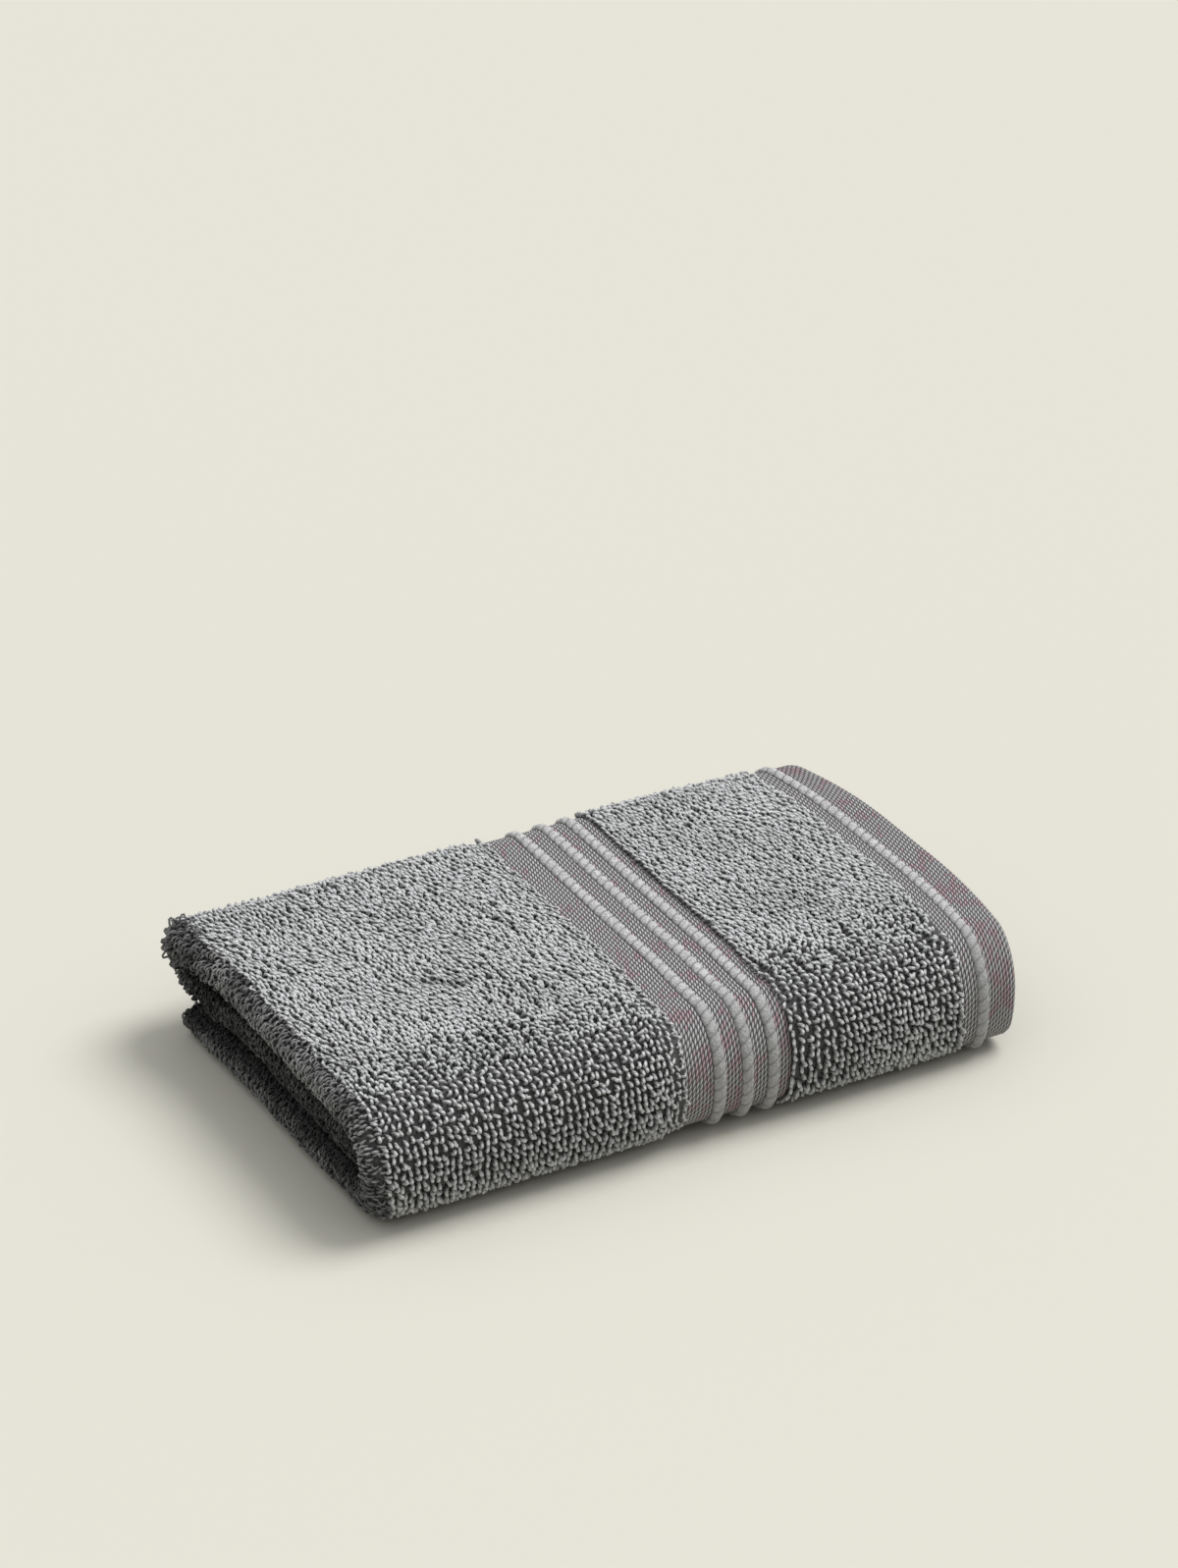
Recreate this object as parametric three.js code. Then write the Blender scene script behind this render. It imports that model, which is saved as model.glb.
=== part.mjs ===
// A folded terry washcloth. The cloth is folded once across its length, which brings
// both hems to the right end, and that pair of layers is then folded in three across
// its width: one flap lies inside, under the top and over the bottom. It is one cloth,
// so it is one solid.
//
// Millimetres, +Z up. X runs along the folded length, from the fold on the left to the
// hems on the right. The front bend faces -Y. The cloth lies on the plane z = 0.

import * as THREE from 'three';

// Size of the folded cloth
const FOLDED_DEPTH = 109;
const FOLDED_HEIGHT = 30;

// Thickness: two layers make a pair, and three pairs lie on each other
const LAYER_GAP = 0.6;
const PAIR_GAP = 0.5;
const PAIR_THICKNESS = (FOLDED_HEIGHT - 2 * PAIR_GAP) / 3;
const HALF_PAIR = PAIR_THICKNESS / 2;

// Places along the cloth, from the fold at x = 0 to the hems
const BAND_START = 80.3;
const BAND_RIBS = [88.9, 96.1, 102.7];
const BAND_END = 107.5;
const HEM_START = 154.8;
const HEM_RIB = 160.5;
const HEM_END = 170.6;
const UNDER_LAYER_SHORTER = 1.2;

// Heights over the middle of a pair
const PILE_TOP = HALF_PAIR;
const WEAVE_TOP = PILE_TOP - 1.7;
const RIB_TOP = PILE_TOP - 0.7;
const HEM_TOP = LAYER_GAP / 2 + 3;
const HEM_RIB_TOP = HEM_TOP + 0.9;
const RIB_HALF_WIDTH = 1.5;
const EDGE_SLOPE = 0.7;

// Places across the cloth, in the folded stack
const TOP_MIDDLE = FOLDED_HEIGHT - HALF_PAIR;
const FRONT_RADIUS = (TOP_MIDDLE - HALF_PAIR) / 2;
const FRONT_CENTRE_Y = -FOLDED_DEPTH / 2 + FRONT_RADIUS + HALF_PAIR;
const FRONT_CENTRE_Z = HALF_PAIR + FRONT_RADIUS;
const FLAP_EDGE_Y = FRONT_CENTRE_Y - 1.2;
const BOTTOM_EDGE_Y = 46;

// Where the back bend draws the flap down, the lower two pairs are squeezed
const DIP_FROM_Y = 12;
const DIP_TO_Y = 40;
const DIP_SQUEEZE = 0.2;

// The back bend, from the dipped flap up to the top
const FLAP_AT_BEND = flapMiddle(DIP_TO_Y);
const BACK_RADIUS = (TOP_MIDDLE - FLAP_AT_BEND) / 2;
const BACK_CENTRE_Z = FLAP_AT_BEND + BACK_RADIUS;
const BACK_CENTRE_Y = FOLDED_DEPTH / 2 - BACK_RADIUS - HALF_PAIR * (1 - DIP_SQUEEZE / 2);

// How far the cloth strays from a square fold
const BAND_LEAN = 2;
const HEM_DRAW = { front: 4.9, back: 4 };
const HEM_EDGE_DRAW = { front: 0.9, back: 3 };
const BACK_DRAW = 1.6;
const CORNER_NOSE_OUT = 2.5;
const FLAP_NOSE_BACK = 2.2;
const BOTTOM_NOSE_BACK = 1.6;
const LOW_CORNER_BACK = 0.7;
const BOTTOM_NOSE_OUT = 1.5;
const FLAP_CREASE = 1.3;
const LOFT = 0.4;
const LOFT_WAVE = { along: 9, across: 16, start: 0.5 };

// How far each of these reaches
const BAND_LEAN_BLEND = { before: 16, after: 12 };
const HEM_DRAW_STARTS = BAND_END + 12;
const HEM_DRAW_FROM_Y = { front: -8, back: 15 };
const HEM_DRAW_REACH = { front: 44, back: 37 };
const NOSE_REACH = 36;
const BEND_REACH = { top: 24, bottom: 30 };
const FRONT_SHARE_ON_TOP = 0.4;
const CORNER_TUCK_REACH = 18;

// How full the bends are: 2 is round, and more is squarer
const ROUND = 2;
const BACK_TOP_FULLNESS = 2.4;
const FRONT_LOW_FULLNESS = { corner: 2.8, left: 3.6, right: 4.6 };

// How finely the shape is cut
const TERRY_STEP = 14;
const INSIDE_STEP = 40;
const RUN_STEPS = { flap: 7, top: 9, bottom: 8 };
const BACK_BEND_STEPS = 9;
const FRONT_BEND_STEPS = 12;

const TERRY_GREY = 0x8b8b8a;

function smooth(from, to, value) {
  const t = Math.min(Math.max((value - from) / (to - from), 0), 1);
  return t * t * (3 - 2 * t);
}

// How much is left of a pair's thickness at a place across the stack
function dipScale(y) {
  return 1 - DIP_SQUEEZE * smooth(DIP_FROM_Y, DIP_TO_Y, y);
}

// Height of the flap's middle, which lies on the bottom pair
function flapMiddle(y) {
  return dipScale(y) * (PAIR_THICKNESS + HALF_PAIR) + PAIR_GAP;
}

// Points along a level stretch, no more than a step apart
function addLevel(points, from, to, height, step) {
  const count = Math.max(1, Math.round(Math.abs(to - from) / step));
  for (let i = 0; i <= count; i += 1) {
    points.push([from + ((to - from) * i) / count, height]);
  }
}

// A woven rib that stands out of a flat weave
function addRib(points, centre, base, top) {
  const sides = 4;
  for (let i = 0; i <= sides; i += 1) {
    const turn = (Math.PI * i) / sides;
    const x = centre - RIB_HALF_WIDTH * Math.cos(turn);
    points.push([x, base + (top - base) * Math.sin(turn)]);
  }
}

// One layer's right side, from the fold to the hem, as [x, height] points
function rightSide(shorter) {
  const points = [];
  addLevel(points, HALF_PAIR, BAND_START, PILE_TOP, TERRY_STEP);
  points.push([BAND_START + EDGE_SLOPE, WEAVE_TOP]);
  for (const centre of BAND_RIBS) {
    addRib(points, centre, WEAVE_TOP, RIB_TOP);
  }
  points.push([BAND_END - EDGE_SLOPE / 2, WEAVE_TOP]);
  addLevel(points, BAND_END, HEM_START, PILE_TOP, TERRY_STEP);
  points.push([HEM_START + EDGE_SLOPE, HEM_TOP]);
  addRib(points, HEM_RIB, HEM_TOP, HEM_RIB_TOP);
  addHemEdge(points, HEM_END - shorter);
  return points;
}

// The rounded edge of a hem, ending on the layer's inner side
function addHemEdge(points, end) {
  const sides = 4;
  const radius = (HEM_TOP - LAYER_GAP / 2) / 2;
  const middle = LAYER_GAP / 2 + radius;
  for (let i = 0; i <= sides; i += 1) {
    const turn = Math.PI / 2 - (Math.PI * i) / sides;
    points.push([end - radius + radius * Math.cos(turn), middle + radius * Math.sin(turn)]);
  }
}

// The closed outline of a pair: two layers joined by the fold at x = 0
function pairOutline() {
  const insideFold = HALF_PAIR + LAYER_GAP;
  const upper = rightSide(0);
  addLevel(upper, HEM_START, insideFold, LAYER_GAP / 2, INSIDE_STEP);
  const lower = rightSide(UNDER_LAYER_SHORTER);
  addLevel(lower, HEM_START, insideFold, LAYER_GAP / 2, INSIDE_STEP);
  const outline = [...upper, [insideFold - LAYER_GAP / 2, 0]];
  for (const [x, height] of lower.reverse()) {
    outline.push([x, -height]);
  }
  const sides = 6;
  for (let i = 1; i < sides; i += 1) {
    const turn = -Math.PI / 2 - (Math.PI * i) / sides;
    outline.push([HALF_PAIR + HALF_PAIR * Math.cos(turn), HALF_PAIR * Math.sin(turn)]);
  }
  return outline.map(([x, height]) => new THREE.Vector2(x, height));
}

// Stations across the cloth, from the flap's free edge inside to the bottom's at the
// back. Each says where the pair's middle runs, which way is outward, the radius of its
// bend, how much of the thickness is left, and how near it is to the front and the back.
function levelStation(run, y, z, outZ, scale, front, back) {
  return { run, y, z, outY: 0, outZ, radius: 0, scale, front, back };
}

function bendStation(run, centreY, centreZ, radius, turn, scale, front, back) {
  const outY = Math.cos(turn);
  const outZ = Math.sin(turn);
  const y = centreY + radius * outY;
  const z = centreZ + radius * outZ;
  return { run, y, z, outY, outZ, radius, scale, front, back };
}

function flapStations() {
  const stations = [];
  for (let i = 0; i <= RUN_STEPS.flap; i += 1) {
    const y = FLAP_EDGE_Y + ((BACK_CENTRE_Y - FLAP_EDGE_Y) * i) / RUN_STEPS.flap;
    stations.push(levelStation('flap', y, flapMiddle(y), -1, dipScale(y), 0, 0));
  }
  return stations;
}

function backBendStations() {
  const stations = [];
  for (let i = 1; i < BACK_BEND_STEPS; i += 1) {
    const share = i / BACK_BEND_STEPS;
    const turn = -Math.PI / 2 + Math.PI * share;
    const back = smooth(0, 1, share);
    const scale = 1 - DIP_SQUEEZE * (1 - back);
    stations.push(
      bendStation('back', BACK_CENTRE_Y, BACK_CENTRE_Z, BACK_RADIUS, turn, scale, 0, back),
    );
  }
  return stations;
}

function topStations() {
  const stations = [];
  for (let i = 0; i <= RUN_STEPS.top; i += 1) {
    const y = BACK_CENTRE_Y + ((FRONT_CENTRE_Y - BACK_CENTRE_Y) * i) / RUN_STEPS.top;
    const nearFront = 1 - smooth(FRONT_CENTRE_Y, FRONT_CENTRE_Y + BEND_REACH.top, y);
    const front = FRONT_SHARE_ON_TOP * nearFront;
    const back = smooth(BACK_CENTRE_Y - BEND_REACH.top, BACK_CENTRE_Y, y);
    stations.push(levelStation('top', y, TOP_MIDDLE, 1, 1, front, back));
  }
  return stations;
}

function frontBendStations() {
  const stations = [];
  for (let i = 1; i < FRONT_BEND_STEPS; i += 1) {
    const share = i / FRONT_BEND_STEPS;
    const turn = Math.PI / 2 + Math.PI * share;
    const front = FRONT_SHARE_ON_TOP + (1 - FRONT_SHARE_ON_TOP) * smooth(0, 0.5, share);
    stations.push(
      bendStation('front', FRONT_CENTRE_Y, FRONT_CENTRE_Z, FRONT_RADIUS, turn, 1, front, 0),
    );
  }
  return stations;
}

function bottomStations() {
  const stations = [];
  for (let i = 0; i <= RUN_STEPS.bottom; i += 1) {
    const y = FRONT_CENTRE_Y + ((BOTTOM_EDGE_Y - FRONT_CENTRE_Y) * i) / RUN_STEPS.bottom;
    const scale = dipScale(y);
    const front = 1 - smooth(FRONT_CENTRE_Y, FRONT_CENTRE_Y + BEND_REACH.bottom, y);
    stations.push(levelStation('bottom', y, HALF_PAIR * scale, -1, scale, front, 0));
  }
  return stations;
}

// How near a place is to a bend, for the hems: more and more towards the bend's middle,
// and fading out again under the stack
function hemNearFront(place) {
  const below = place.outZ < 0;
  const y = below ? FRONT_CENTRE_Y - FRONT_RADIUS : place.y;
  const near = Math.max(0, (HEM_DRAW_FROM_Y.front - y) / HEM_DRAW_REACH.front) ** 2;
  return below ? near * place.front : near;
}

function hemNearBack(place) {
  const below = place.outZ < 0;
  const y = below ? BACK_CENTRE_Y + BACK_RADIUS : place.y;
  const near = Math.max(0, (y - HEM_DRAW_FROM_Y.back) / HEM_DRAW_REACH.back) ** 2;
  return below ? near * smooth(0, 0.5, place.back) : near;
}

// How far the folded end lies back of the top's: under the front bend it is drawn in,
// and towards the back the bottom's comes out again
function noseBackAt(place) {
  const atCorner = BOTTOM_NOSE_BACK + LOW_CORNER_BACK;
  if (place.run === 'front') {
    return atCorner * smooth(0, 1, -place.outZ);
  }
  if (place.run === 'bottom') {
    const out = BOTTOM_NOSE_OUT * smooth(0, BOTTOM_EDGE_Y, place.y);
    return BOTTOM_NOSE_BACK + LOW_CORNER_BACK * place.front - out;
  }
  const noseBack = { flap: FLAP_NOSE_BACK, back: FLAP_NOSE_BACK / 2 };
  return noseBack[place.run] ?? 0;
}

// Where a point of the outline lies along the folded cloth: the band leans on the
// front, the hems are drawn in at the front and back, and the lower folds lie back
function placeAlong(x, place) {
  const bandEntered = smooth(BAND_START - BAND_LEAN_BLEND.before, BAND_START, x);
  const bandLeft = smooth(BAND_END, BAND_END + BAND_LEAN_BLEND.after, x);
  const inBand = bandEntered * (1 - bandLeft);
  const inHem = smooth(HEM_DRAW_STARTS, HEM_START, x);
  const atEdge = smooth(HEM_RIB, HEM_END, x);
  const nearNose = 1 - smooth(0, NOSE_REACH, x);
  const front = hemNearFront(place);
  const back = hemNearBack(place);
  const noseShift = noseBackAt(place) - CORNER_NOSE_OUT * place.back;
  return (
    x -
    BAND_LEAN * inBand * place.front -
    inHem * (HEM_DRAW.front * front + HEM_DRAW.back * back) -
    atEdge * (HEM_EDGE_DRAW.front * front + HEM_EDGE_DRAW.back * back) +
    nearNose * noseShift
  );
}

// The flap's nose is creased between its two layers
function creaseAt(x, height, place) {
  const onNose = place.run === 'flap' ? 1 - smooth(0, HALF_PAIR, x) : 0;
  return FLAP_CREASE * onNose * (1 - smooth(0, HALF_PAIR / 2, Math.abs(height)));
}

// The top's pile is a little higher in some places than in others
function loftAt(x, height, place) {
  if (place.run !== 'top' || height < PILE_TOP - 0.01) {
    return 0;
  }
  const away = (1 - place.back) * (1 - place.front);
  const along = Math.sin(x / LOFT_WAVE.along + LOFT_WAVE.start);
  const across = Math.cos(place.y / LOFT_WAVE.across);
  return -LOFT * away * (0.5 - 0.5 * along * across);
}

// Towards the hems, the back of the stack is drawn in
function drawnInAt(x, place) {
  if (place.run === 'bottom' || place.run === 'front') {
    return 0;
  }
  return BACK_DRAW * smooth(BAND_END, HEM_END, x) * smooth(0, BACK_CENTRE_Y, place.y);
}

// How much further than a round bend the cloth reaches, as a share of its radius.
// The bend's inner side stays round.
function fullnessAt(x, height, place) {
  const outside = Math.max(0, height / HALF_PAIR);
  let full = ROUND;
  if (place.run === 'front' && place.outZ < 0) {
    const { corner, left, right } = FRONT_LOW_FULLNESS;
    full = corner + (left - corner) * smooth(0, CORNER_TUCK_REACH, x);
    full += (right - left) * smooth(BAND_START, HEM_END, x);
  } else if (place.run === 'back' && place.outZ > 0) {
    full = BACK_TOP_FULLNESS;
  }
  const power = ROUND + (full - ROUND) * outside;
  const reach = Math.abs(place.outY) ** power + Math.abs(place.outZ) ** power;
  return reach ** (-1 / power) - 1;
}

function foldedPoint(x, height, place) {
  const level = height * place.scale + loftAt(x, height, place);
  const out = level + (place.radius + level) * fullnessAt(x, height, place);
  return new THREE.Vector3(
    placeAlong(x, place) + creaseAt(x, height, place),
    place.y + place.outY * out - drawnInAt(x, place),
    place.z + place.outZ * out,
  );
}

// The pair's outline is swept straight across the cloth, one step to a station, and
// each of its points is then carried to its place in the fold
function foldedCloth() {
  const stations = [
    ...flapStations(),
    ...backBendStations(),
    ...topStations(),
    ...frontBendStations(),
    ...bottomStations(),
  ];
  const steps = stations.length - 1;
  const outline = new THREE.Shape(pairOutline());
  const geometry = new THREE.ExtrudeGeometry(outline, {
    depth: steps,
    steps,
    bevelEnabled: false,
  });
  const position = geometry.getAttribute('position');
  for (let i = 0; i < position.count; i += 1) {
    const place = stations[Math.round(position.getZ(i))];
    const point = foldedPoint(position.getX(i), position.getY(i), place);
    position.setXYZ(i, point.x, point.y, point.z);
  }
  geometry.computeBoundingBox();
  const box = geometry.boundingBox;
  geometry.translate(-(box.min.x + box.max.x) / 2, -(box.min.y + box.max.y) / 2, 0);
  geometry.computeVertexNormals();
  return geometry;
}

const terry = new THREE.MeshStandardMaterial({
  color: TERRY_GREY,
  roughness: 0.95,
  metalness: 0,
});

const washcloth = new THREE.Group();
const cloth = new THREE.Mesh(foldedCloth(), terry);
cloth.name = 'cloth';
washcloth.add(cloth);

export default washcloth;
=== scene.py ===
# A folded terry washcloth: woven ground cloth, its looped pile, its ribs, and a plain
# studio round it. Lengths in the tables are millimetres, and meshes are metres.

import math

import bpy
import numpy as np
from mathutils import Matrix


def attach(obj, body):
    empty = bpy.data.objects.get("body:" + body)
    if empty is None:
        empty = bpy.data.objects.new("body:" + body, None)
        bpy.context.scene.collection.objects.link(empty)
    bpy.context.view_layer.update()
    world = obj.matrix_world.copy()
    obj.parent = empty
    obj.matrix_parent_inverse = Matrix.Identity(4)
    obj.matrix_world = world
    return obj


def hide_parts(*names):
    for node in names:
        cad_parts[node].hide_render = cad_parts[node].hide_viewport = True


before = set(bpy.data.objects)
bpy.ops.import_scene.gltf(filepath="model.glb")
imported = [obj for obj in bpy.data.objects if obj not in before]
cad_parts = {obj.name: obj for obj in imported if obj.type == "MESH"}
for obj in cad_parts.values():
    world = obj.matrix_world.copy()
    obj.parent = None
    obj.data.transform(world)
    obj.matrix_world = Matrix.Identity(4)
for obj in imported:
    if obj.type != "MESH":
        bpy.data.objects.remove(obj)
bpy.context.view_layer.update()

MM = 0.001

# Size of the folded cloth, as in the solid
FOLDED_DEPTH = 109
FOLDED_HEIGHT = 30
LAYER_GAP = 0.6
PAIR_GAP = 0.5
PAIR_THICKNESS = (FOLDED_HEIGHT - 2 * PAIR_GAP) / 3
HALF_PAIR = PAIR_THICKNESS / 2

# Places along the cloth, from the fold on the left to the hems
BAND_START = 80.3
BAND_RIBS = (88.9, 96.1, 102.7)
BAND_END = 107.5
HEM_START = 154.8
HEM_RIB = 160.5
HEM_END = 170.6
UNDER_LAYER_SHORTER = 1.2
X_MIDDLE = 84.05

# Heights over the middle of a pair
PILE_TOP = HALF_PAIR
GROUND_TOP = 2.7
WEAVE_TOP = PILE_TOP - 1.7
RIB_TOP = PILE_TOP - 0.7
HEM_TOP = LAYER_GAP / 2 + 3
HEM_RIB_TOP = HEM_TOP + 0.9
RIB_HALF_WIDTH = 1.5
EDGE_SLOPE = 0.7

# Where the lower pairs are squeezed, and the two bends
DIP_FROM_Y = 12
DIP_TO_Y = 40
DIP_SQUEEZE = 0.2
TOP_MIDDLE = FOLDED_HEIGHT - HALF_PAIR
FRONT_RADIUS = (TOP_MIDDLE - HALF_PAIR) / 2
FRONT_CENTRE_Y = -FOLDED_DEPTH / 2 + FRONT_RADIUS + HALF_PAIR
FRONT_CENTRE_Z = HALF_PAIR + FRONT_RADIUS
FLAP_EDGE_Y = FRONT_CENTRE_Y - 1.2
BOTTOM_EDGE_Y = 46
FLAP_AT_BEND = (1 - DIP_SQUEEZE) * (PAIR_THICKNESS + HALF_PAIR) + PAIR_GAP
BACK_RADIUS = (TOP_MIDDLE - FLAP_AT_BEND) / 2
BACK_CENTRE_Z = FLAP_AT_BEND + BACK_RADIUS
BACK_CENTRE_Y = FOLDED_DEPTH / 2 - BACK_RADIUS - HALF_PAIR * (1 - DIP_SQUEEZE / 2)

# How far the cloth strays from a square fold
BAND_LEAN = 2
HEM_DRAW = {"front": 4.9, "back": 4}
HEM_EDGE_DRAW = {"front": 0.9, "back": 3}
HEM_DRAW_FROM_Y = {"front": -8, "back": 15}
HEM_DRAW_REACH = {"front": 44, "back": 37}
BACK_DRAW = 1.6
NOSE = {
    "corner": 2.5,
    "flap": 2.2,
    "bottom": 1.6,
    "low": 0.7,
    "out": 1.5,
    "crease": 1.3,
    "reach": 36,
}
LOFT = 0.4
BACK_TOP_FULLNESS = 2.4
FRONT_LOW_FULLNESS = (2.8, 3.6, 4.6)
CORNER_TUCK_REACH = 18
FRONT_SHARE_ON_TOP = 0.4
TOP_REACH = 24
BOTTOM_REACH = 30

# Lengths of the cloth's runs round the fold, from the flap's edge to the bottom's
RUNS = {
    "flap": BACK_CENTRE_Y - FLAP_EDGE_Y,
    "back": math.pi * BACK_RADIUS,
    "top": BACK_CENTRE_Y - FRONT_CENTRE_Y,
    "front": math.pi * FRONT_RADIUS,
    "bottom": BOTTOM_EDGE_Y - FRONT_CENTRE_Y,
}
STARTS = dict(zip(RUNS, np.cumsum([0, *list(RUNS.values())[:-1]])))
PATH = sum(RUNS.values())

# A place along the cloth where it lies plain, at which rows round the fold are spaced
PLAIN_X = 60

# The weave's map, in units to a metre, and the size of a float in it
MAP_SCALE = 10
FLOAT_WIDTH = 0.92
FLOAT_LENGTH = 1.45

# The pile: its two fields, how far apart its loops stand, and how unevenly
LEFT_FIELD = (HALF_PAIR, BAND_START - 0.5)
RIGHT_FIELD = (BAND_END + 0.5, HEM_START - 0.6)
FIELDS = (LEFT_FIELD, RIGHT_FIELD)
LOOP_PITCH = 1.87
FRONT_LOOP_PITCH = 1.7
FOOT_JITTER = 0.2
FRONT_FOOT_JITTER = 0.17

# Where each piece of the pile begins round the fold
BACK_PILE_FROM = STARTS["back"] - 8
TOP_PILE_FROM = STARTS["top"] - 3
FRONT_PILE_FROM = STARTS["front"] + 2
UNDER_PILE_FROM = STARTS["bottom"] + 1

# How far the loops lie down at the front bend, and over what lengths that changes. Where
# they lie further down than the first filling share, loops begin to fill in between columns
BEND_COMBED = 0.4
BEND_COMBED_REACH = 14
TOP_COMBED_REACH = 30
FILLING_COMBED = (0.15, 0.75)
HIDDEN_COMBED = 0.3

# The folded end: its tip, how close its yarn stands, and how far that goes into the stack
NOSE_TIP = 3.6
NOSE_ROW_PITCH = 0.92
NOSE_YARN_PITCH = 1.35
NOSE_PILE_IN = 6.7

# The partings seen in the top's pile, as (x, y) lines, their width and their push
PARTING_WIDTH = 1.4
PARTING_PUSH = 0.5
PARTINGS = (
    ((62.5, 25.2), (68.0, 5.3)),
    ((68.0, -15.0), (69.0, -16.5)),
    ((38.4, -3.7), (45.7, -7.6)),
    ((59.1, 29.6), (60.4, 28.4)),
)


def smooth(low, high, value):
    t = np.clip((value - low) / (high - low), 0, 1)
    return t * t * (3 - 2 * t)


def waves(a, b, size, seed):
    """An uneven field between about -1 and 1, the same on every run."""
    turns = np.random.default_rng(seed).uniform(0, 2 * math.pi, (6, 2))
    total = 0
    for turn, start in turns:
        reach = size * (0.7 + 0.6 * start / (2 * math.pi))
        total = total + np.sin((a * math.cos(turn) + b * math.sin(turn)) / reach + start)
    return total / 3


def thickness_left(y):
    return 1 - DIP_SQUEEZE * smooth(DIP_FROM_Y, DIP_TO_Y, y)


def lay(u):
    """The fold at each distance round it: middle, way out, radius and nearness to the bends."""
    run = {name: (u >= STARTS[name]) for name in RUNS}
    names = list(RUNS)
    for name, after in zip(names, names[1:]):
        run[name] = run[name] & ~run[after]
    share = {name: (u - STARTS[name]) / RUNS[name] for name in RUNS}

    flap_y = FLAP_EDGE_Y + share["flap"] * RUNS["flap"]
    top_y = BACK_CENTRE_Y - share["top"] * RUNS["top"]
    low_y = FRONT_CENTRE_Y + share["bottom"] * RUNS["bottom"]
    back_turn = math.pi * (share["back"] - 0.5)
    front_turn = math.pi * (share["front"] + 0.5)
    near_back = smooth(0, 1, share["back"])
    flap_scale = thickness_left(flap_y)
    low_scale = thickness_left(low_y)
    lean = FRONT_SHARE_ON_TOP

    def pick(flap, back, top, front, bottom):
        choices = [np.broadcast_to(v, u.shape) for v in (flap, back, top, front, bottom)]
        return np.select([run[name] for name in RUNS], choices)

    back_on_top = smooth(BACK_CENTRE_Y - TOP_REACH, BACK_CENTRE_Y, top_y)
    front = pick(
        0,
        0,
        lean * (1 - smooth(FRONT_CENTRE_Y, FRONT_CENTRE_Y + TOP_REACH, top_y)),
        lean + (1 - lean) * smooth(0, 0.5, share["front"]),
        1 - smooth(FRONT_CENTRE_Y, FRONT_CENTRE_Y + BOTTOM_REACH, low_y),
    )

    low_nose = NOSE["bottom"] - NOSE["out"] * smooth(0, BOTTOM_EDGE_Y, low_y)
    corner_nose = (NOSE["bottom"] + NOSE["low"]) * smooth(0, 1, -np.sin(front_turn))

    return {
        "run": run,
        "y": pick(
            flap_y,
            BACK_CENTRE_Y + BACK_RADIUS * np.cos(back_turn),
            top_y,
            FRONT_CENTRE_Y + FRONT_RADIUS * np.cos(front_turn),
            low_y,
        ),
        "z": pick(
            thickness_left(flap_y) * (PAIR_THICKNESS + HALF_PAIR) + PAIR_GAP,
            BACK_CENTRE_Z + BACK_RADIUS * np.sin(back_turn),
            TOP_MIDDLE,
            FRONT_CENTRE_Z + FRONT_RADIUS * np.sin(front_turn),
            HALF_PAIR * low_scale,
        ),
        "out_y": pick(0, np.cos(back_turn), 0, np.cos(front_turn), 0),
        "out_z": pick(-1, np.sin(back_turn), 1, np.sin(front_turn), -1),
        "radius": pick(0, BACK_RADIUS, 0, FRONT_RADIUS, 0),
        "scale": pick(flap_scale, 1 - DIP_SQUEEZE * (1 - near_back), 1, 1, low_scale),
        "front": front,
        "back": pick(0, near_back, back_on_top, 0, 0),
        "nose": pick(
            NOSE["flap"], NOSE["flap"] / 2, 0, corner_nose, low_nose + NOSE["low"] * front
        ),
    }


def hem_nearness(at):
    """How near to the front and back bends' middles, fading out again under the stack."""
    below = at["out_z"] < 0
    front_y = np.where(below, FRONT_CENTRE_Y - FRONT_RADIUS, at["y"])
    back_y = np.where(below, BACK_CENTRE_Y + BACK_RADIUS, at["y"])
    front = np.maximum(0, (HEM_DRAW_FROM_Y["front"] - front_y) / HEM_DRAW_REACH["front"]) ** 2
    back = np.maximum(0, (back_y - HEM_DRAW_FROM_Y["back"]) / HEM_DRAW_REACH["back"]) ** 2
    front = front * np.where(below, at["front"], 1)
    back = back * np.where(below, smooth(0, 0.5, at["back"]), 1)
    return front, back


def along_cloth(x, h, at):
    in_band = smooth(BAND_START - 16, BAND_START, x) * (1 - smooth(BAND_END, BAND_END + 12, x))
    in_hem = smooth(BAND_END + 12, HEM_START, x)
    at_edge = smooth(HEM_RIB, HEM_END, x)
    near_nose = 1 - smooth(0, NOSE["reach"], x)
    on_nose = (1 - smooth(0, HALF_PAIR, x)) * at["run"]["flap"]
    crease = NOSE["crease"] * on_nose * (1 - smooth(0, HALF_PAIR / 2, np.abs(h)))
    front, back = hem_nearness(at)
    drawn = HEM_DRAW["front"] * front + HEM_DRAW["back"] * back
    edge_drawn = HEM_EDGE_DRAW["front"] * front + HEM_EDGE_DRAW["back"] * back
    return (
        x
        + crease
        - BAND_LEAN * in_band * at["front"]
        - in_hem * drawn
        - at_edge * edge_drawn
        + near_nose * (at["nose"] - NOSE["corner"] * at["back"])
    )


def bend_fullness(x, h, at):
    outside = np.clip(h / HALF_PAIR, 0, 1.1)
    corner, left, right = FRONT_LOW_FULLNESS
    low_front = at["run"]["front"] & (at["out_z"] < 0)
    high_back = at["run"]["back"] & (at["out_z"] > 0)
    low_full = corner + (left - corner) * smooth(0, CORNER_TUCK_REACH, x)
    low_full = low_full + (right - left) * smooth(BAND_START, HEM_END, x)
    full = np.where(low_front, low_full, 2)
    full = np.where(high_back, BACK_TOP_FULLNESS, full)
    power = 2 + (full - 2) * outside
    reach = np.abs(at["out_y"]) ** power + np.abs(at["out_z"]) ** power
    return reach ** (-1 / power) - 1


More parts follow.
